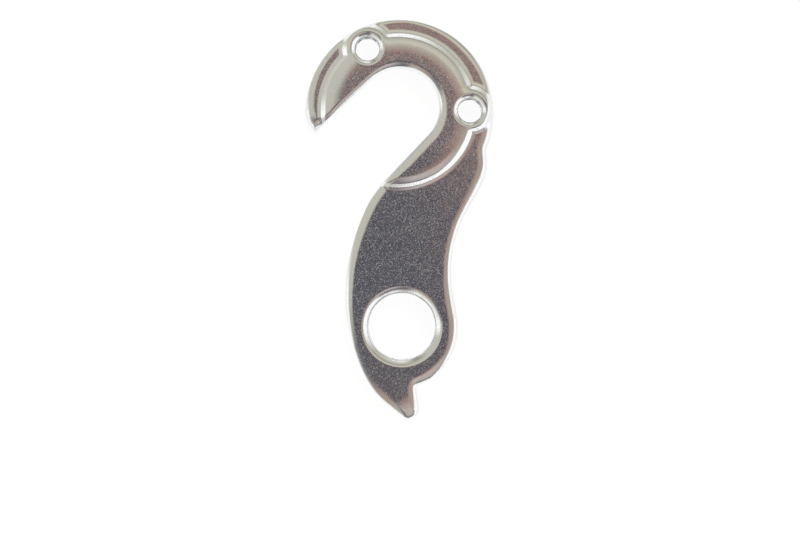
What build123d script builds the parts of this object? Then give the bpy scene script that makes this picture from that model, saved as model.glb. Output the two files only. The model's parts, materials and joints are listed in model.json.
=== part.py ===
"""Bicycle derailleur hanger: one cast and machined piece of aluminium, in millimetres.

The derailleur bore is the Z axis, the back face lies in Z = 0 and the axle slot is towards +Y.
The front, with the raised pad, faces +Z. Angles are in degrees, counted from +X towards +Y.
"""
import os
from math import cos, radians, sin

from build123d import *

# Thickness
blade_thickness = 6.4
pad_rise = 0.9

# Rounded edges, and the largest share of a wall that one of them may take
front_round = 1.0
pad_round = 0.75
pad_cove = 0.4
back_round = 0.4
largest_share = 0.9

# Axle slot, open towards the lower left
slot_width = 10.7
slot_angle = 225.0
slot_flare = 1.5
upper_lip = 10.55
lower_lip = 8.7

# Hook round the slot: a raised pad inside a lower rim
axle_rise = 28.55
axle_offset = -0.33
slot_shift = 0.95
pad_offset = -0.17
pad_shift = 0.43
pad_width = 4.75
rim_width = 2.55
hook_start = -14.0
hook_end = 178.0

# Frame bolt holes, bored to the core of an M4 x 0.7 thread, each in a boss of the pad
bolt_bore = 3.24
bolt_bevel = 0.5
bolt_insets = (0.8425, 0.4812)
bolt_angles = (116.43, 0.11)
boss_wall = 1.0
boss_blend = 0.6

# Derailleur eye, bored to the core of an M10 x 1 thread
eye_bore = 9.0
eye_bevel = 0.9
eye_wall = 3.88
eye_offset = -0.8
eye_start = -71.5
eye_end = 10.0

# Bevel at the back of every bore
back_bevel = 0.4

# Blade between hook and eye
shoulder_bulge = 0.75
shoulder_angle = -28.3
shoulder_dip = -22.0
neck_drop = 13.6
neck_left = 5.2
neck_right = 8.45
waist_rise = 6.2
waist_left = 7.55
waist_right = 6.68

# Jaw from the eye down to the stop nose
jaw_wall = 2.5
jaw_angle = 200.0
chin_reach = 9.75
chin_angle = 250.0
nose_radius = 1.4
nose_drop = 10.95
nose_right = 0.95
nose_start = 231.0
nose_end = 373.0
notch_round = 0.6

# Sizes that follow from those above
pad_top = blade_thickness + pad_rise
pad_seat = blade_thickness / 2
slot_radius = slot_width / 2
pad_radius = slot_radius + pad_width
hook_radius = pad_radius + rim_width
foot_width = 2 * pad_cove
cutter_radius = 2 * hook_radius
boss_radius = bolt_bore / 2 + boss_wall
eye_radius = eye_bore / 2 + eye_wall


def polar(centre, radius, angle):
    """Point at a distance and an angle from a centre."""
    return centre + Vector(cos(radians(angle)), sin(radians(angle))) * radius


def heading(angle):
    """Unit vector at an angle."""
    return polar(Vector(0, 0), 1, angle)


def arc(centre, radius, start, end):
    """Arc about a centre, from one angle to another."""
    angles = (start, (start + end) / 2, end)
    return ThreePointArc(*[polar(centre, radius, angle) for angle in angles])


bore_centre = Vector(0, 0)
hook_centre = Vector(axle_offset, axle_rise)
slot_centre = hook_centre + Vector(0, slot_shift)
pad_centre = hook_centre + Vector(pad_offset, pad_shift)
eye_centre = Vector(eye_offset, 0)
nose_centre = Vector(nose_right, -nose_drop)
bolt_places = zip(bolt_insets, bolt_angles)
bolt_centres = [polar(pad_centre, pad_radius - inset, angle) for inset, angle in bolt_places]


def outline():
    """Face inside the silhouette, and the inner corner above the nose."""
    upper = slot_angle - slot_flare
    lower = slot_angle + slot_flare
    slot_end = arc(slot_centre, slot_radius, lower + 90, upper + 270)
    tip = polar(slot_end @ 1, upper_lip, upper)
    lip_end = polar(slot_end @ 0, lower_lip, lower)
    nose = arc(nose_centre, nose_radius, nose_start, nose_end)
    eye = arc(eye_centre, eye_radius, eye_start, eye_end)
    hook = arc(hook_centre, hook_radius, hook_start, hook_end)
    neck = axle_rise - neck_drop
    left_edge = Spline(
        lip_end,
        (-neck_left, neck),
        (-waist_left, waist_rise),
        polar(bore_centre, eye_bore / 2 + jaw_wall, jaw_angle),
        polar(bore_centre, chin_reach, chin_angle),
        nose @ 0,
        tangents=(heading(lower), heading(nose_start + 90)),
    )
    right_edge = Spline(
        eye @ 1,
        (waist_right, waist_rise),
        (neck_right, neck),
        polar(hook_centre, hook_radius + shoulder_bulge, shoulder_angle),
        polar(hook_centre, hook_radius, shoulder_dip),
        hook @ 0,
        tangents=(heading(eye_end + 90), heading(hook_start + 90)),
    )
    edges = [
        slot_end,
        Line(slot_end @ 0, lip_end),
        left_edge,
        nose,
        Line(nose @ 1, eye @ 0),
        eye,
        right_edge,
        hook,
        TangentArc(hook @ 1, tip, tangent=heading(hook_end + 90)),
        Line(tip, slot_end @ 1),
    ]
    return make_face(edges), eye @ 0


def rounded(solid, top, radius):
    """The solid with the edges of its highest or its lowest face rounded, the longest first."""
    face = solid.faces().sort_by(Axis.Z)[-1 if top else 0]
    return fillet(face.edges().sort_by(SortBy.LENGTH, reverse=True), radius)


def column(height):
    """The silhouette as a straight prism, with its inner corner above the nose rounded."""
    face, corner = outline()
    prism = extrude(face, height)
    corner_edge = prism.edges().filter_by(Axis.Z).sort_by_distance(corner)[0]
    return fillet(corner_edge, notch_round)


def plate():
    """The whole silhouette at blade thickness, with rounded front and back edges."""
    front = min(front_round, largest_share * nose_radius)
    return rounded(rounded(column(blade_thickness), True, front), False, back_round)


def pad_face():
    """The pad seen from the front, with its two bosses, before the slot is cut from it."""
    face = Pos(*pad_centre) * Circle(pad_radius)
    for centre in bolt_centres:
        face += Pos(*centre) * Circle(boss_radius)
    return fillet(face.vertices(), boss_blend)


def pad():
    """The raised pad, sunk into the plate and cut to the slot."""
    edge = min(pad_round, largest_share * pad_rise)
    block = Pos(0, 0, pad_seat) * extrude(pad_face(), pad_top - pad_seat)
    return rounded(block, True, edge) & rounded(column(pad_top), True, edge)


def pad_foot(flat):
    """Cove at the foot of the pad, as far as the flat front of the plate reaches."""
    around = Pos(*pad_centre) * Circle(cutter_radius) - pad_face()
    hollow = Pos(0, 0, blade_thickness) * extrude(around, pad_rise)
    foot_edges = hollow.faces().sort_by(Axis.Z)[0].inner_wires()[0].edges()
    hollow = fillet(foot_edges, pad_cove)
    depth = blade_thickness + pad_cove - pad_seat
    strip = Pos(0, 0, pad_seat) * extrude(offset(pad_face(), foot_width), depth)
    ground = Pos(0, 0, pad_seat - blade_thickness) * extrude(make_face(flat.outer_wire()), depth)
    return (strip & ground) - hollow


def bore(centre, radius, bevel, height):
    """Cutter for a through bore with a 45 degree bevel at each face."""
    hole = Cylinder(radius, height, align=(Align.CENTER, Align.CENTER, Align.MIN))
    back = Pos(0, 0, back_bevel / 2) * Cone(radius + back_bevel, radius, back_bevel)
    front = Pos(0, 0, height - bevel / 2) * Cone(radius, radius + bevel, bevel)
    return Pos(*centre) * (hole + back + front)


def hanger():
    blade = plate()
    body = blade + pad() + pad_foot(blade.faces().sort_by(Axis.Z)[-1])
    body -= bore(bore_centre, eye_bore / 2, eye_bevel, blade_thickness)
    for centre in bolt_centres:
        body -= bore(centre, bolt_bore / 2, bolt_bevel, pad_top)
    return body


os.makedirs("parts", exist_ok=True)
derailleur_hanger = hanger()
derailleur_hanger.label = "derailleur_hanger"
export_step(derailleur_hanger, "parts/derailleur_hanger.step")
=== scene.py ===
"""Looks of the bicycle derailleur hanger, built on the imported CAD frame. Mesh code works in millimetres."""

import json
import math
from collections import namedtuple
from functools import partial

import bpy
import numpy as np
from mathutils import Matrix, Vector
from mathutils.geometry import delaunay_2d_cdt
from mathutils.kdtree import KDTree

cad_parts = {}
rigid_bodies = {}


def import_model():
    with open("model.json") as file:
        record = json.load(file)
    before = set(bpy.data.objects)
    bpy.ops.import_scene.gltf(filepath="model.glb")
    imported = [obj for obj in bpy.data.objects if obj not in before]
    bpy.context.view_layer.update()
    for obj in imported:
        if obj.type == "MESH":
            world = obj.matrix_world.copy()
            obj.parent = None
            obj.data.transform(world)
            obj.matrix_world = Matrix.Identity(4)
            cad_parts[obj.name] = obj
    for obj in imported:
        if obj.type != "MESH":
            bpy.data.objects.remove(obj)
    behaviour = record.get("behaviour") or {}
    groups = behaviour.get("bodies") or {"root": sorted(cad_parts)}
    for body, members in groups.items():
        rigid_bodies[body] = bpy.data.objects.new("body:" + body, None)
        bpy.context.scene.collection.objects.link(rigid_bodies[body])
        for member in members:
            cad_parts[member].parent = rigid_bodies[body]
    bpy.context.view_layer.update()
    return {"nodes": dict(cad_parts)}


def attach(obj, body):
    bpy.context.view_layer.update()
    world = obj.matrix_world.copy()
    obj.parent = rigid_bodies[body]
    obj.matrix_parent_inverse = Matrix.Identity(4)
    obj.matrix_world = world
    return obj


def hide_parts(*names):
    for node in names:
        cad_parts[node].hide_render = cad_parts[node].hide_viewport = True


for leftover in list(bpy.data.objects):
    bpy.data.objects.remove(leftover)

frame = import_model()

MM = 0.001
NODE = "derailleur_hanger"

# Heights and the rounding at the back, in millimetres
BLADE_TOP = 6.4
PAD_TOP = 7.3
BACK_ROUND = 0.4

# Raised pad, in millimetres
PAD_CENTRE = np.array((-0.5, 28.98))
PAD_RADIUS = 10.1
BOSS_BLEND = 0.6

# Bosses of the pad, the right one first: offset from its hole in X and Y, and radius, in millimetres
BOSSES = ((0.0, 0.2, 2.88), (0.0, 0.0, 3.12))

# Step round the pad, from foot to flat top: distance inside its edge in millimetres, and tilt in degrees
PAD_STEP = ((-0.85, 0), (-0.6, 8), (-0.3, 24), (-0.21, 43), (0.2, 43), (0.44, 24), (1.2, 5), (2.3, 0))

# Rounded front edge at places along the outline: X, Y and its width in millimetres, and how blunt it is,
# from 0 for a round edge to 1 for a blunt one
EDGE_ROUNDS = (
    (1.9, -8.0, 1.3, 0.6),
    (3.8, -7.1, 1.35, 1.0),
    (5.2, -5.9, 1.3, 0.9),
    (6.5, -4.3, 1.12, 0.0),
    (7.6, -0.5, 1.4, 0.0),
    (7.2, 3.5, 1.35, 0.0),
    (6.7, 7.5, 1.12, 0.0),
    (7.2, 11.4, 1.12, 0.0),
    (8.6, 15.2, 1.2, 0.0),
    (10.5, 18.6, 1.6, 0.0),
    (11.5, 22.5, 1.35, 0.0),
    (12.1, 26.4, 1.5, 0.0),
    (12.2, 30.3, 0.85, 0.1),
    (8.7, 37.4, 0.9, 0.7),
    (4.0, 40.4, 0.65, 0.6),
    (0.5, 41.2, 0.45, 0.3),
    (-2.3, 41.1, 0.6, 0.6),
    (-5.0, 40.3, 0.4, 0.7),
    (-9.3, 37.5, 0.75, 0.8),
    (-11.8, 33.8, 0.85, 0.8),
    (-12.8, 30.5, 1.15, 0.6),
    (-12.2, 26.7, 1.8, 0.2),
    (-9.3, 28.3, 0.75, 1.0),
    (-6.4, 31.1, 0.75, 0.5),
    (-3.5, 33.8, 0.7, 1.0),
    (0.3, 34.8, 0.8, 1.0),
    (3.7, 33.0, 0.95, 0.6),
    (3.8, 26.1, 1.35, 0.3),
    (-2.1, 19.9, 1.3, 0.3),
    (-4.4, 16.7, 1.2, 1.0),
    (-6.0, 13.0, 1.15, 1.0),
    (-7.1, 9.2, 1.15, 0.6),
    (-7.6, 5.2, 1.15, 0.0),
    (-7.4, 1.2, 0.95, 0.0),
    (-6.5, -2.7, 0.8, 1.0),
    (-5.1, -6.4, 0.85, 1.0),
    (-2.8, -9.7, 1.25, 0.9),
    (-0.1, -11.9, 0.9, 0.9),
    (0.95, -12.35, 0.6, 0.9),
    (2.3, -11.0, 1.4, 0.0),
)

# Sine of the steepest tilt of a round and of a blunt edge, the most it may be, and how fast it fades inwards
ROUND_SINE = 1.0
BLUNT_SINE = 0.66
LARGEST_SINE = 0.9995
EDGE_FADE = 1.4

# Nose that bends back a little: where the bend starts, its direction, and the slope gained per millimetre
BEND_START = np.array((0.05, -8.75))
BEND_ANGLE = math.radians(-57)
BEND_RATE = 0.06

# Threads, in millimetres: pitch and depth of the groove, width of the mouth at the front, bevel at the back,
# and the depths below the front at which the groove begins and at which it is whole
Thread = namedtuple("Thread", "pitch depth mouth back_bevel begin whole")
EYE_THREAD = Thread(pitch=1.0, depth=0.5, mouth=0.97, back_bevel=0.4, begin=0.25, whole=1.0)
BOLT_THREAD = Thread(pitch=0.7, depth=0.36, mouth=0.7, back_bevel=0.4, begin=0.3, whole=2.8)

# Flat at the crest and at the root of a thread, as a share of its pitch
THREAD_FLAT = 0.125

# Bores: one with a larger radius than any bolt hole, in millimetres, is the eye
Bore = namedtuple("Bore", "centre radius thread")
LARGEST_BOLT = 3.0

# Mouth of a bore: share of its width inwards and tilt in degrees
MOUTH = ((0, 2), (0.14, 10), (0.36, 36), (1, 44))

# Spacing of points along the edges and over the front and back faces, in millimetres
STEP = 0.13
FRONT_FILL = 0.38
BACK_FILL = 3 * FRONT_FILL

# Height of a triangle with equal sides, as a share of its side
TRIANGLE_HEIGHT = math.sqrt(0.75)

# Rows across a rounded edge, as shares of its width
EDGE_ROWS = (0.008, 0.03, 0.07, 0.13, 0.2, 0.28, 0.37, 0.47, 0.58, 0.7, 0.84, 1.0)

# Rows across the step of the pad, and rows round the mouth of a bore, in millimetres
STEP_ROWS = (
    -0.85, -0.76, -0.68, -0.6, -0.5, -0.4, -0.3, -0.255, -0.21, -0.08, 0.08,
    0.2, 0.28, 0.36, 0.44, 0.6, 0.8, 1.0, 1.2, 1.45, 1.75, 2.1,
)
MOUTH_ROWS = (0.1, 0.25, 0.45)

# Rows down the wall, as shares of its height, and rows to each turn of a thread
WALL_ROWS = (0.25, 0.5, 0.75)
ROWS_PER_PITCH = 9

# Least gaps in millimetres: along a row, from rows and grid to other points, to the outline and to a rim
ALONG_GAP = 0.55 * STEP
ROW_GAP = 0.012
GRID_GAP = 0.02
OUTLINE_GAP = 0.003
RIM_GAP = 0.03

# A point of a row stays if it is this share of the row's depth from the border, less a slack in millimetres
ROW_SHARE = 0.995
ROW_SLACK = 1e-4

# CAD mesh: digits to which equal points agree, slack of a level in millimetres, the ratio of lengths at
# which a side counts as straight, and the turn in degrees at which a point counts as a corner
POINT_DIGITS = 4
LEVEL_SLACK = 0.002
STRAIGHT_RATIO = 3
CORNER_TURN = 35

# Shortest vector, how near counts as on a curve, and the triangulation's kind and slack
SHORTEST = 1e-12
ON_CURVE = 1e-4
WHOLE_HULL = 0
HULL_SLACK = 1e-6

# Entries in the tables of the edges and the step, and of the mouth of a bore
TABLE_SIZE = 400
MOUTH_SIZE = 15


# Curves

def unit(v):
    """The vectors at length one."""
    return v / np.maximum(np.linalg.norm(v, axis=-1, keepdims=True), SHORTEST)


def left_of(along):
    """The vectors turned a quarter to the left."""
    return np.stack((-along[:, 1], along[:, 0]), axis=1)


def heading(angle):
    """Unit vector at an angle, in radians."""
    return np.array((math.cos(angle), math.sin(angle)))


def angle_of(v):
    """Angle of a vector, in radians."""
    return math.atan2(v[1], v[0])


def point_tree(points):
    """Search tree for points in the plane."""
    tree = KDTree(len(points))
    for i, p in enumerate(points):
        tree.insert((p[0], p[1], 0), i)
    tree.balance()
    return tree


def circle_points(centre, radius, angles):
    """Points on a circle at some angles, in radians."""
    return centre + radius * np.stack((np.cos(angles), np.sin(angles)), axis=1)


def arc_points(centre, radius, start, end, to_left):
    """Points on an arc between two angles, in radians, to the left or to the right, without its end."""
    if to_left and end < start:
        end += 2 * math.pi
    if not to_left and end > start:
        end -= 2 * math.pi
    count = max(2, round(abs(end - start) * radius / STEP))
    return circle_points(centre, radius, start + (end - start) * np.arange(count) / count)


def ring_points(bore, radius):
    """Points on a circle about the axis of a bore, as many as fit round its wall."""
    count = round(2 * math.pi * bore.radius / STEP)
    return circle_points(bore.centre, radius, 2 * math.pi * np.arange(count) / count)


class Border:
    """A closed curve, counter-clockwise, that gives distances and directions to itself."""

    def __init__(self, points):
        self.points = points
        self.tree = point_tree(points)
        self.ahead = np.roll(points, -1, axis=0) - points
        self.gone = np.concatenate(([0], np.cumsum(np.linalg.norm(self.ahead, axis=1))))

    def along_curve(self, places, values):
        """A value for each point of the curve, from values at a few places along it."""
        known = sorted((self.gone[self.tree.find((x, y, 0))[1]], v) for (x, y), v in zip(places, values))
        return np.interp(self.gone[:-1], *zip(*known), period=self.gone[-1])

    def inward(self):
        """Unit vectors into the curve at its points."""
        return left_of(unit(np.roll(self.points, -1, axis=0) - np.roll(self.points, 1, axis=0)))

    def measure(self, where):
        """Depth inside the curve, below zero outside, the way it grows, and the nearest point's number."""
        found = np.array([self.tree.find((p[0], p[1], 0))[1] for p in where])
        best = np.full(len(where), np.inf)
        foot = np.zeros((len(where), 2))
        along = np.zeros((len(where), 2))
        for back in (0, 1):
            i = (found - back) % len(self.points)
            start, run = self.points[i], self.ahead[i]
            t = np.sum((where - start) * run, axis=1) / np.sum(run * run, axis=1)
            near = start + run * np.clip(t, 0, 1)[:, None]
            gap = np.linalg.norm(where - near, axis=1)
            better = gap < best
            best[better] = gap[better]
            foot[better] = near[better]
            along[better] = run[better]
        left = left_of(unit(along))
        offset = where - foot
        side = np.where(np.sum(offset * left, axis=1) >= 0, 1.0, -1.0)
        grows = np.where(best[:, None] > ON_CURVE, unit(offset) * side[:, None], left)
        return best * side, grows, found


class Outline(Border):
    """The hanger's outline, with the width and the bluntness of its front edge at each point."""

    def __init__(self, points):
        super().__init__(points)
        places = [place[:2] for place in EDGE_ROUNDS]
        self.width = self.along_curve(places, [place[2] for place in EDGE_ROUNDS])
        self.blunt = self.along_curve(places, [place[3] for place in EDGE_ROUNDS])


# Outline and bores read from the CAD frame, and the edge of the pad

def level_loops(mesh, level):
    """Closed loops of the mesh's edges that lie at one height, as arrays of points."""
    points = np.array([v.co for v in mesh.vertices]) / MM
    unique, ids = np.unique(np.round(points, POINT_DIGITS), axis=0, return_inverse=True)
    ids = ids.ravel()
    at_level = np.abs(unique[:, 2] - level) < LEVEL_SLACK
    near = {}
    for edge in mesh.edges:
        a, b = (ids[v] for v in edge.vertices)
        if a != b and at_level[a] and at_level[b]:
            near.setdefault(a, set()).add(b)
            near.setdefault(b, set()).add(a)
    loops = []
    while near:
        start = min(near)
        loop = [start]
        while True:
            ahead = [v for v in sorted(near[loop[-1]]) if v not in loop[-2:-1]]
            step = ahead[0] if len(loop) > 1 else min(near[start])
            if step == start:
                break
            loop.append(step)
        for v in loop:
            near.pop(v)
        loops.append(unique[loop][:, :2])
    return loops


def turned_left(loop):
    """The loop, counter-clockwise."""
    x, y = loop.T
    area = np.sum(x * np.roll(y, -1) - y * np.roll(x, -1))
    return loop if area > 0 else loop[::-1]


def smooth_loop(loop):
    """Points at an even step along the smooth curve through a loop of points, with its corners kept."""
    ahead = np.roll(loop, -1, axis=0) - loop
    back = np.roll(ahead, 1, axis=0)
    ahead_length = np.linalg.norm(ahead, axis=1)
    back_length = np.roll(ahead_length, 1)
    a, b = unit(ahead), unit(back)
    tangent = unit(b * ahead_length[:, None] + a * back_length[:, None])
    after_line = back_length > STRAIGHT_RATIO * ahead_length
    before_line = ahead_length > STRAIGHT_RATIO * back_length
    tangent[after_line] = b[after_line]
    tangent[before_line] = a[before_line]
    corner = np.sum(a * b, axis=1) < math.cos(math.radians(CORNER_TURN))
    points = []
    for i in range(len(loop)):
        j = (i + 1) % len(loop)
        chord = a[i]
        t0, t1 = tangent[i], tangent[j]
        if corner[i]:
            t0 = 2 * np.dot(t1, chord) * chord - t1
        if corner[j]:
            t1 = 2 * np.dot(t0, chord) * chord - t0
        length = ahead_length[i]
        count = max(1, round(length / STEP))
        u = (np.arange(count) / count)[:, None]
        points.append(
            (2 * u**3 - 3 * u**2 + 1) * loop[i]
            + (u**3 - 2 * u**2 + u) * length * t0
            + (3 * u**2 - 2 * u**3) * loop[j]
            + (u**3 - u**2) * length * t1
        )
    return np.concatenate(points)


def round_bore(loop):
    """The bore whose wall is a loop of points."""
    centre = (loop.min(axis=0) + loop.max(axis=0)) / 2
    radius = np.hypot(*(loop - centre).T).max()
    return Bore(centre, radius, EYE_THREAD if radius > LARGEST_BOLT else BOLT_THREAD)


def pad_border(bolts):
    """The pad's edge: a circle with a boss round each bolt hole, blended at its foot."""
    reach = PAD_RADIUS + BOSS_BLEND
    bosses = []
    holes = sorted((bolt.centre for bolt in bolts), key=lambda hole: angle_of(hole - PAD_CENTRE))
    for hole, (right, up, radius) in zip(holes, BOSSES):
        boss = hole + np.array((right, up))
        gap = np.linalg.norm(boss - PAD_CENTRE)
        side = radius + BOSS_BLEND
        turn = math.acos((reach**2 + gap**2 - side**2) / (2 * reach * gap))
        middle = angle_of(boss - PAD_CENTRE)
        bosses.append((boss, radius, middle - turn, middle + turn))
    pieces = []
    for (boss, radius, first, last), (_, _, following, _) in zip(bosses, bosses[1:] + bosses[:1]):
        before, after = (PAD_CENTRE + reach * heading(angle) for angle in (first, last))
        pieces += [
            arc_points(before, BOSS_BLEND, angle_of(PAD_CENTRE - before), angle_of(boss - before), False),
            arc_points(boss, radius, angle_of(before - boss), angle_of(after - boss), True),
            arc_points(after, BOSS_BLEND, angle_of(boss - after), angle_of(PAD_CENTRE - after), False),
            arc_points(PAD_CENTRE, PAD_RADIUS, last, following, True),
        ]
    return Border(np.concatenate(pieces))


# Height and slope of the front and the back

def summed(at, slope):
    """Height gained along a row of slopes."""
    return np.concatenate(([0], np.cumsum((slope[1:] + slope[:-1]) / 2 * np.diff(at))))


def slope_of(sine):
    """Slope of a surface from the sine of its tilt."""
    return sine / np.sqrt(1 - sine**2)


def edge_table(steepest):
    """Drop and slope of a rounded edge one millimetre wide, from the sine of its steepest tilt."""
    slope = slope_of(np.minimum(steepest * (1 - EDGE_DEPTH) ** EDGE_FADE, LARGEST_SINE))
    gained = summed(EDGE_DEPTH, slope)
    return gained[-1] - gained, slope


def step_table():
    """Rise and slope of the step round the pad."""
    depths, tilts = zip(*PAD_STEP)
    slope = slope_of(np.interp(STEP_DEPTH, depths, [math.sin(math.radians(tilt)) for tilt in tilts]))
    slope *= (PAD_TOP - BLADE_TOP) / summed(STEP_DEPTH, slope)[-1]
    return summed(STEP_DEPTH, slope), slope


EDGE_DEPTH = np.linspace(0, 1, TABLE_SIZE) ** 2
ROUND_EDGE = edge_table(ROUND_SINE)
BLUNT_EDGE = edge_table(BLUNT_SINE)
STEP_DEPTH = np.linspace(PAD_STEP[0][0], PAD_STEP[-1][0], TABLE_SIZE)
STEP_RISE, STEP_SLOPE = step_table()
MOUTH_SHARE = np.linspace(0, 1, MOUTH_SIZE)
MOUTH_DROP = summed(MOUTH_SHARE, np.tan(np.radians(np.interp(MOUTH_SHARE, *zip(*MOUTH)))))
BEND_WAY = heading(BEND_ANGLE)


def rounding(depth, width, blunt):
    """Drop below the top of a rounded edge at a depth inside it, and its slope there."""
    share = np.clip(depth / width, 0, 1)
    drop, slope = (
        (1 - blunt) * np.interp(share, EDGE_DEPTH, a) + blunt * np.interp(share, EDGE_DEPTH, b)
        for a, b in zip(ROUND_EDGE, BLUNT_EDGE)
    )
    return width * drop, slope


def front_surface(where, outline, pad):
    """Height of the front at each point and the normal there."""
    inside, grows, near = outline.measure(where)
    in_pad, pad_grows, _ = pad.measure(where)
    drop, steep = rounding(inside, outline.width[near], outline.blunt[near])
    rise = np.interp(in_pad, STEP_DEPTH, STEP_RISE)
    climb = np.interp(in_pad, STEP_DEPTH, STEP_SLOPE, left=0, right=0)
    bent = np.maximum((where - BEND_START) @ BEND_WAY, 0)
    slope = steep[:, None] * grows + climb[:, None] * pad_grows - BEND_RATE * bent[:, None] * BEND_WAY
    normal = unit(np.column_stack((-slope, np.ones(len(where)))))
    return BLADE_TOP + rise - drop - BEND_RATE * bent**2 / 2, normal


def back_surface(where, outline):
    """Height of the back at each point and the normal there."""
    inside, grows, _ = outline.measure(where)
    drop, steep = rounding(inside, BACK_ROUND, blunt=0.0)
    normal = unit(np.column_stack((-steep[:, None] * grows, -np.ones(len(where)))))
    return drop, normal


# Points and triangles of the front and back faces

def rows(border, depths):
    """Points on rows inside a border, or outside it below zero, where no nearer part of it is."""
    into = border.inward()
    kept = []
    for depth in depths:
        depth = depth * np.ones(len(into))
        row = border.points + into * depth[:, None]
        gap = np.abs(border.measure(row)[0])
        row = row[gap > np.abs(depth) * ROW_SHARE - ROW_SLACK]
        last = None
        for p in row:
            if last is None or np.hypot(*(p - last)) > ALONG_GAP:
                kept.append(p)
                last = p
    return np.array(kept)


def clear_of(points, others, gap):
    """The points that lie further than a gap from all others."""
    tree = point_tree(others)
    return np.array([p for p in points if tree.find((p[0], p[1], 0))[2] > gap])


def fill_points(low, high, spacing):
    """A triangular grid of points over a rectangle."""
    ys = np.arange(low[1], high[1], spacing * TRIANGLE_HEIGHT)
    grid = []
    for k, y in enumerate(ys):
        xs = np.arange(low[0] + (k % 2) * spacing / 2, high[0], spacing)
        grid.append(np.column_stack((xs, np.full(len(xs), y))))
    return np.concatenate(grid)


def loose_points(outline, rims, families, spacing):
    """Rows in order of care, clear of the edges and holes, then a grid that fills the rest."""
    fixed = np.concatenate([outline.points] + rims)
    kept = fixed
    grid = fill_points(outline.points.min(axis=0), outline.points.max(axis=0), spacing)
    for points, gap in [(family, ROW_GAP) for family in families] + [(grid, GRID_GAP)]:
        points = points[outline.measure(points)[0] > OUTLINE_GAP]
        for rim in rims:
            centre = rim.mean(axis=0)
            points = points[np.hypot(*(points - centre).T) > np.hypot(*(rim[0] - centre)) + RIM_GAP]
        kept = np.concatenate((kept, clear_of(points, kept, gap)))
    return kept[len(fixed):]


def triangulated(outline, rims, loose):
    """Points, triangles and loops between an outline and the rims of its holes, through loose points."""
    loops = [outline.points] + rims
    points = [Vector(p) for p in np.concatenate(loops + [loose])]
    spans, first = [], 0
    for loop in loops:
        spans.append(range(first, first + len(loop)))
        first += len(loop)
    edges = [pair for span in spans for pair in zip(span, [*span[1:], span[0]])]
    where, _, faces, sources, _, _ = delaunay_2d_cdt(points, edges, [], WHOLE_HULL, HULL_SLACK, True)
    where = np.array([tuple(v) for v in where])
    new_id = {old: new for new, olds in enumerate(sources) for old in olds}
    rings = [[new_id[v] for v in span] for span in spans]

    # A triangle on one rim closes a hole, and one on the outline may lie outside it
    on_outline = set(rings[0])
    on_rims = [set(ring) for ring in rings[1:]]
    faces = [tuple(face) for face in faces if not any(rim.issuperset(face) for rim in on_rims)]
    triangles = [face for face in faces if not on_outline.issuperset(face)]
    doubtful = [face for face in faces if on_outline.issuperset(face)]
    if doubtful:
        depths = outline.measure(np.array([where[list(face)].mean(axis=0) for face in doubtful]))[0]
        triangles += [face for face, depth in zip(doubtful, depths) if depth > 0]
    return where, triangles, rings


# The whole hanger

class Build:
    """Vertices, faces and a normal for each corner."""

    def __init__(self):
        self.points = []
        self.faces = []
        self.normals = []

    def add(self, points):
        """Adds points and returns their numbers."""
        first = len(self.points)
        self.points += [tuple(p) for p in points]
        return list(range(first, len(self.points)))

    def at(self, numbers):
        """The points with these numbers, as an array."""
        return np.array([self.points[v] for v in numbers])

    def face(self, corners, normals):
        """Adds a face with a normal at each corner."""
        self.faces.append(tuple(corners))
        self.normals += [tuple(n) for n in normals]

    def bands(self, rings, normals, outside):
        """Adds the faces between rings, one below the other, which show outside or inside the rings."""
        n = len(rings[0])
        for k in range(len(rings) - 1):
            for i in range(n):
                j = (i + 1) % n
                corners = [(k, i), (k, j), (k + 1, j), (k + 1, i)]
                if outside:
                    corners = [(k, i), (k + 1, i), (k + 1, j), (k, j)]
                self.face([rings[a][b] for a, b in corners], [normals[a][b] for a, b in corners])


def add_sheet(build, outline, rims, loose, surface, flip):
    """One face of the hanger. Returns the vertices of its outline and of each rim, in order."""
    where, triangles, rings = triangulated(outline, rims, loose)
    height, normal = surface(where)
    numbers = build.add(np.column_stack((where, height)))
    for triangle in triangles:
        corners = triangle[::-1] if flip else triangle
        build.face([numbers[v] for v in corners], normal[list(corners)])
    return [[numbers[v] for v in ring] for ring in rings]


def add_wall(build, outline, top, bottom):
    """The wall round the outline, in a few rows."""
    high, low = build.at(top), build.at(bottom)
    rings = [top] + [build.add(high + (low - high) * share) for share in WALL_ROWS] + [bottom]
    normal = np.column_stack((-outline.inward(), np.zeros(len(top))))
    build.bands(rings, [normal] * len(rings), outside=True)


def groove(turns):
    """Depth of a thread's groove as a share, along its pitch."""
    from_root = np.abs((turns % 1.0) - 0.5) * 2
    return np.clip((1 - THREAD_FLAT - from_root) / (1 - 2 * THREAD_FLAT), 0, 1)


def bore_heights(thread, high):
    """Heights of the rows down a bore at each point of its rim: the mouth first, then the wall."""
    mouth = thread.mouth * MOUTH_DROP[1:, None] / high
    below = round((high.mean() - thread.mouth * MOUTH_DROP[-1]) / thread.pitch * ROWS_PER_PITCH)
    wall = mouth[-1] + (1 - mouth[-1]) * np.arange(1, below)[:, None] / below
    return high * (1 - np.concatenate((mouth, wall)))


def bore_grid(bore, top, bottom):
    """Rings of points down a bore from its front rim to its back rim, with its mouth, thread and bevel."""
    thread = bore.thread
    high = top[:, 2]
    around = top[:, :2] - bore.centre
    angle = np.arctan2(around[:, 1], around[:, 0])
    grid = [top]
    for z in bore_heights(thread, high):
        begun = np.clip((high - thread.begin - z) / (thread.whole - thread.begin), 0, 1)
        cut = bore.radius + thread.depth * begun * groove(z / thread.pitch - angle / (2 * math.pi))
        mouth = thread.mouth * (1 - np.interp((high - z) / thread.mouth, MOUTH_DROP, MOUTH_SHARE))
        wide = np.maximum(cut, bore.radius + np.maximum(mouth, thread.back_bevel - z))
        grid.append(np.column_stack((bore.centre + wide[:, None] * unit(around), z)))
    return np.array(grid + [bottom])


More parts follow.
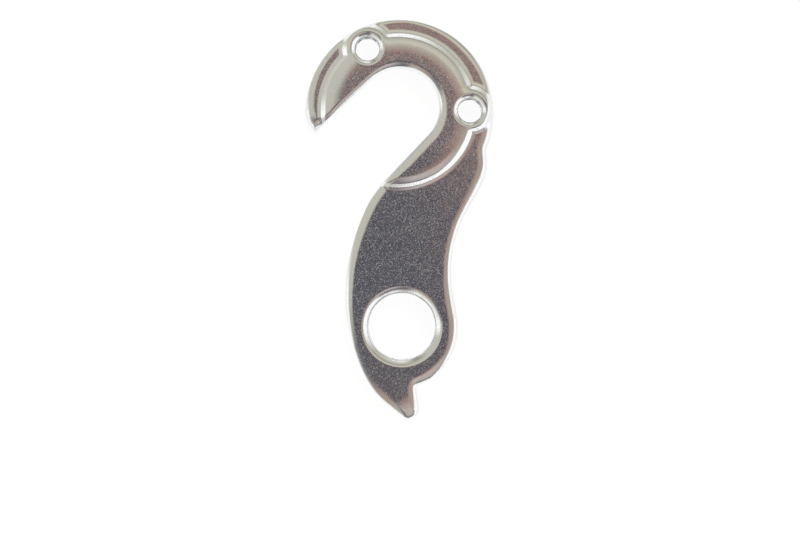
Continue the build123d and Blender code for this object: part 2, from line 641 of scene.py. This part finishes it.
def add_bore(build, bore, top, bottom):
    """A threaded bore between two rims with the same number of points."""
    grid = bore_grid(bore, build.at(top), build.at(bottom))
    along = np.roll(grid, -1, axis=1) - np.roll(grid, 1, axis=1)
    normal = unit(np.cross(along, np.gradient(grid, axis=0)))
    outward = np.sum(normal[:, :, :2] * (grid[:, :, :2] - bore.centre), axis=2)
    normal = np.where(outward[:, :, None] < 0, normal, -normal)
    rings = [top] + [build.add(ring) for ring in grid[1:-1]] + [bottom]
    build.bands(rings, normal, outside=False)


def add_front(build, outline, bores):
    """The front with its rounded edge, raised pad and bent nose, up to the mouths of the bores."""
    pad = pad_border([bore for bore in bores if bore.radius < LARGEST_BOLT])
    mouths = [bore.radius + bore.thread.mouth for bore in bores]
    rims = [ring_points(bore, mouth) for bore, mouth in zip(bores, mouths)]
    rings = [ring_points(bore, mouth + row) for bore, mouth in zip(bores, mouths) for row in MOUTH_ROWS]
    families = [
        rows(outline, [share * outline.width for share in EDGE_ROWS]),
        rows(pad, STEP_ROWS),
        np.concatenate(rings),
    ]
    loose = loose_points(outline, rims, families, FRONT_FILL)
    surface = partial(front_surface, outline=outline, pad=pad)
    return add_sheet(build, outline, rims, loose, surface, flip=False)


def add_back(build, outline, bores):
    """The flat back with its small rounded edge, up to the bevels of the bores."""
    rims = [ring_points(bore, bore.radius + bore.thread.back_bevel) for bore in bores]
    families = [rows(outline, [share * BACK_ROUND for share in EDGE_ROWS[::2]])]
    loose = loose_points(outline, rims, families, BACK_FILL)
    surface = partial(back_surface, outline=outline)
    return add_sheet(build, outline, rims, loose, surface, flip=True)


def hanger_mesh():
    """The hanger as one closed mesh, on the outline and the bores of its CAD node."""
    loops = level_loops(frame["nodes"][NODE].data, BACK_ROUND)
    loops.sort(key=lambda p: -np.ptp(p[:, 1]))
    outline = Outline(smooth_loop(turned_left(loops[0])))
    bores = [round_bore(loop) for loop in loops[1:]]

    build = Build()
    top = add_front(build, outline, bores)
    bottom = add_back(build, outline, bores)
    add_wall(build, outline, top[0], bottom[0])
    for bore, upper, lower in zip(bores, top[1:], bottom[1:]):
        add_bore(build, bore, upper, lower)

    mesh = bpy.data.meshes.new("hanger_body")
    mesh.from_pydata([Vector(p) * MM for p in build.points], [], build.faces)
    mesh.shade_smooth()
    mesh.normals_split_custom_set(build.normals)
    return mesh


# Materials

# Polish and sparkling grain: linear colours, roughness, and the strength at which the colour starts to turn
POLISH = (0.85, 0.85, 0.85)
SPARKLE = (0.75, 0.83, 0.97)
POLISH_ROUGH = 0.06
SPARKLE_ROUGH = 0.48
SPARKLE_FROM = 0.1

# Grain: cells per metre, how rare a strong one is, how far it tilts, and the middle of a cell's colour
GRAIN_SCALE = 11500.0
GRAIN_RARITY = 6.0
GRAIN_TILT = 0.06
GRAIN_MIDDLE = (0.5, 0.5, 0.5)

# Unevenness of the polish: waves per metre, their detail, strength and height in metres
WAVE_SCALE = 700.0
WAVE_DETAIL = 3.0
WAVE_STRENGTH = 0.25
WAVE_HEIGHT = 0.00003

# Floor: its colour to matt surfaces, and its colour and glow to the camera and in mirrors
FLOOR_MATT = (0.55, 0.55, 0.55, 1)
FLOOR_SHADED = (0.12, 0.12, 0.12, 1)
FLOOR_GLOW = 0.93


def node(tree, kind, inputs=None, **settings):
    """A new node with its settings and inputs; an input that is a socket gets a link."""
    made = tree.nodes.new(kind)
    for name, value in settings.items():
        setattr(made, name, value)
    for name, value in (inputs or {}).items():
        if isinstance(value, bpy.types.NodeSocket):
            tree.links.new(value, made.inputs[name])
        else:
            made.inputs[name].default_value = value
    return made


def math_node(tree, operation, a, b=0.0):
    """An operation on one or two numbers."""
    return node(tree, "ShaderNodeMath", {0: a, 1: b}, operation=operation).outputs[0]


def vector_node(tree, operation, a, b=None, scale=None):
    """An operation on vectors."""
    inputs = {0: a}
    if b is not None:
        inputs[1] = b
    if scale is not None:
        inputs["Scale"] = scale
    return node(tree, "ShaderNodeVectorMath", inputs, operation=operation).outputs[0]


def ramp_node(tree, value, stops):
    """A colour ramp: a list of places and linear colours."""
    made = node(tree, "ShaderNodeValToRGB", {"Fac": value})
    ramp = made.color_ramp
    while len(ramp.elements) < len(stops):
        ramp.elements.new(position=0.5)
    for element, (place, colour) in zip(ramp.elements, stops):
        element.position = place
        element.color = (*colour, 1)
    return made.outputs["Color"]


def fresh(name):
    """A material with an empty node tree."""
    made = bpy.data.materials.new(name)
    made.use_nodes = True
    made.node_tree.nodes.clear()
    return made, made.node_tree


def polished_metal():
    """Polished cast aluminium: a fine sparkling grain over a faintly uneven polish."""
    made, tree = fresh("polished_metal")
    place = node(tree, "ShaderNodeTexCoord").outputs["Object"]
    normal = node(tree, "ShaderNodeNewGeometry").outputs["Normal"]
    cells = node(tree, "ShaderNodeTexVoronoi", {"Vector": place, "Scale": GRAIN_SCALE}, feature="F1")
    spin = vector_node(tree, "SUBTRACT", cells.outputs["Color"], GRAIN_MIDDLE)
    chance = node(tree, "ShaderNodeSeparateColor", {"Color": cells.outputs["Color"]}).outputs["Blue"]
    pit = math_node(tree, "POWER", chance, GRAIN_RARITY)
    grain = vector_node(tree, "SCALE", spin, scale=math_node(tree, "MULTIPLY", pit, GRAIN_TILT))
    tilted = vector_node(tree, "NORMALIZE", vector_node(tree, "ADD", normal, grain))
    wave = node(tree, "ShaderNodeTexNoise", {"Vector": place, "Scale": WAVE_SCALE, "Detail": WAVE_DETAIL})
    bump = node(tree, "ShaderNodeBump", {
        "Height": wave.outputs["Fac"],
        "Normal": tilted,
        "Strength": WAVE_STRENGTH,
        "Distance": WAVE_HEIGHT,
    })
    rough = node(tree, "ShaderNodeMapRange", {"Value": pit, "To Min": POLISH_ROUGH, "To Max": SPARKLE_ROUGH})
    shader = node(tree, "ShaderNodeBsdfPrincipled", {
        "Base Color": ramp_node(tree, pit, [(SPARKLE_FROM, POLISH), (1.0, SPARKLE)]),
        "Metallic": 1.0,
        "Roughness": rough.outputs["Result"],
        "Normal": bump.outputs["Normal"],
    })
    node(tree, "ShaderNodeOutputMaterial", {"Surface": shader.outputs["BSDF"]})
    return made


def white_floor():
    """Paper that glows white to the camera and in mirrors, with a soft shadow, and is matt otherwise."""
    made, tree = fresh("white_floor")
    path = node(tree, "ShaderNodeLightPath").outputs
    mirrored = math_node(tree, "MAXIMUM", path["Is Glossy Ray"], path["Is Transmission Ray"])
    seen = math_node(tree, "MAXIMUM", path["Is Camera Ray"], mirrored)
    paper = node(tree, "ShaderNodeBsdfDiffuse", {"Color": FLOOR_MATT})
    shaded = node(tree, "ShaderNodeBsdfDiffuse", {"Color": FLOOR_SHADED})
    white = node(tree, "ShaderNodeEmission", {"Strength": FLOOR_GLOW})
    bright = node(tree, "ShaderNodeAddShader", {0: shaded.outputs[0], 1: white.outputs[0]})
    both = node(tree, "ShaderNodeMixShader", {0: seen, 1: paper.outputs[0], 2: bright.outputs[0]})
    node(tree, "ShaderNodeOutputMaterial", {"Surface": both.outputs[0]})
    return made


# Light tent

# Linear colours of the tent
DARK = (0.086, 0.093, 0.117)
DUSK = (0.122, 0.113, 0.122)
SLATE = (0.17, 0.155, 0.17)
BROWN = (0.36, 0.225, 0.195)
UMBER = (0.27, 0.235, 0.23)
TAN = (0.43, 0.345, 0.285)
CLAY = (0.48, 0.45, 0.40)
PINK = (0.58, 0.48, 0.43)
SAND = (0.65, 0.62, 0.51)
GREEN = (0.60, 0.585, 0.50)
MOSS = (0.50, 0.49, 0.40)
OLIVE = (0.36, 0.355, 0.27)
GREY = (0.32, 0.31, 0.33)
ROSE = (0.58, 0.52, 0.50)
PALE = (0.72, 0.71, 0.64)
LIGHT = (1.2, 1.2, 1.18)

# Stops that two sides of the tent share: angle from overhead, in degrees, and colour
LEAFY = [(16, SAND), (26, SAND), (38, GREEN), (48, MOSS), (60, OLIVE), (68, OLIVE)]
EVENING = [(0.5, DARK), (2, DUSK), (6, DUSK), (14, BROWN)]

# Sides of the tent: angle from +X towards +Y, in degrees, and stops from overhead down to the horizon
HORIZON = 90
TENT = (
    (0, [(0.4, DARK), (4.4, BROWN), (12.5, TAN), (49, TAN), (63, LIGHT)]),
    (45, [(1.2, DARK), (3.4, BROWN), (9, TAN), *LEAFY, (80, GREEN)]),
    (90, [(2.7, DARK), (4.4, BROWN), (8.6, TAN), *LEAFY, (78, PALE), (85, LIGHT)]),
    (114, [(1.6, DARK), (5, BROWN), (14, GREEN), (66, GREEN), (78, OLIVE), (90, OLIVE)]),
    (138, [(1.5, DARK), (10, GREEN), (78, GREEN), (90, PALE)]),
    (162, [(2, DARK), (11, GREEN), (80, GREEN), (90, PALE)]),
    (182, [(2.5, DARK), (11, GREEN), (52, GREEN), (64, LIGHT)]),
    (205, [(6, DARK), (30, SLATE), (54, GREY), (72, PALE), (84, LIGHT)]),
    (232, [*EVENING, (26, TAN), (60, TAN), (74, PALE), (82, LIGHT)]),
    (247, [*EVENING, (26, CLAY), (60, CLAY), (74, PALE), (82, LIGHT)]),
    (264, [
        (0.5, DARK), (2, DUSK), (8, DUSK), (16, UMBER),
        (23, UMBER), (33, SLATE), (75, SLATE), (81, PALE),
    ]),
    (286, [
        (0.5, DARK), (2, DUSK), (7, DUSK), (18, ROSE), (34, ROSE),
        (52, GREY), (68, SLATE), (75, SLATE), (80, LIGHT),
    ]),
    (302, [
        (0.5, DARK), (2.5, DUSK), (10, BROWN), (18, PINK), (36, PINK),
        (54, CLAY), (66, SLATE), (74, SLATE), (80, LIGHT),
    ]),
    (316, [(2, DARK), (10, BROWN), (22, PINK), (44, CLAY), (56, GREY), (62, GREY), (70, LIGHT)]),
    (332, [(2, DARK), (10, BROWN), (24, TAN), (48, CLAY), (61, LIGHT)]),
)


def fading(tree, away, far):
    """A share that is one straight ahead and falls to zero at an angle."""
    inputs = {"Value": away, "From Min": far, "From Max": 0.0}
    return node(tree, "ShaderNodeMapRange", inputs, interpolation_type="SMOOTHSTEP").outputs["Result"]


def light_tent():
    """The world: the tent's sides, each faded into its neighbours."""
    world = bpy.data.worlds.new("light_tent")
    bpy.context.scene.world = world
    world.use_nodes = True
    tree = world.node_tree
    tree.nodes.clear()
    way = node(tree, "ShaderNodeTexCoord").outputs["Generated"]
    parts = node(tree, "ShaderNodeSeparateXYZ", {0: way}).outputs
    fall = math_node(tree, "DIVIDE", math_node(tree, "ARCCOSINE", parts["Z"]), math.pi / 2)
    compass = math_node(tree, "ARCTAN2", parts["Y"], parts["X"])
    angles = [math.radians(angle) for angle, _ in TENT]
    total = None
    for k, (_, stops) in enumerate(TENT):
        away = math_node(tree, "SUBTRACT", compass, angles[k])
        away = node(tree, "ShaderNodeMath", {0: away, 1: -math.pi, 2: math.pi}, operation="WRAP").outputs[0]
        before = (angles[k - 1] - angles[k]) % -math.tau
        after = (angles[(k + 1) % len(TENT)] - angles[k]) % math.tau
        share = math_node(tree, "MINIMUM", fading(tree, away, before), fading(tree, away, after))
        colour = ramp_node(tree, fall, [(degrees / HORIZON, stop) for degrees, stop in stops])
        part = vector_node(tree, "SCALE", colour, scale=share)
        total = part if total is None else vector_node(tree, "ADD", total, part)
    tent = node(tree, "ShaderNodeBackground", {"Color": total, "Strength": 1.0})
    node(tree, "ShaderNodeOutputWorld", {"Surface": tent.outputs[0]})


# Scene

# Floor, in metres: half its side, and how far it lies below the hanger
FLOOR_REACH = 2.0
FLOOR_DROP = 0.00005

# Lamp: power in watts, and size and place in metres
LAMP_POWER = 5.0
LAMP_SIZE = 0.8
LAMP_PLACE = (0.3, 0.3, 0.9)

# Camera: place and nearest distance in metres, sensor and lens in millimetres
CAMERA_PLACE = (-0.000255, 0.00807, 0.4564)
CAMERA_NEAREST = 0.01
SENSOR_WIDTH = 36.0
LENS = 151.07


def put(name, data):
    """A new object in the scene."""
    made = bpy.data.objects.new(name, data)
    bpy.context.scene.collection.objects.link(made)
    return made


hanger = put("hanger_body", hanger_mesh())
hanger.data.materials.append(polished_metal())
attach(hanger, "root")
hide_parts(NODE)

corners = [(x * FLOOR_REACH, y * FLOOR_REACH, 0) for x, y in ((-1, -1), (1, -1), (1, 1), (-1, 1))]
floor_mesh = bpy.data.meshes.new("floor")
floor_mesh.from_pydata(corners, [], [(0, 1, 2, 3)])
floor_mesh.materials.append(white_floor())
floor = put("floor", floor_mesh)
floor.location.z = -FLOOR_DROP

light_tent()

lamp = put("soft_lamp", bpy.data.lights.new("soft_lamp", "AREA"))
lamp.data.energy = LAMP_POWER
lamp.data.size = LAMP_SIZE
lamp.location = LAMP_PLACE
lamp.rotation_euler = (-lamp.location).to_track_quat("-Z", "Y").to_euler()
lamp.visible_glossy = False

camera = put("camera", bpy.data.cameras.new("camera"))
camera.location = CAMERA_PLACE
camera.data.sensor_width = SENSOR_WIDTH
camera.data.lens = LENS
camera.data.clip_start = CAMERA_NEAREST
bpy.context.scene.camera = camera
bpy.context.scene.view_settings.view_transform = "Standard"
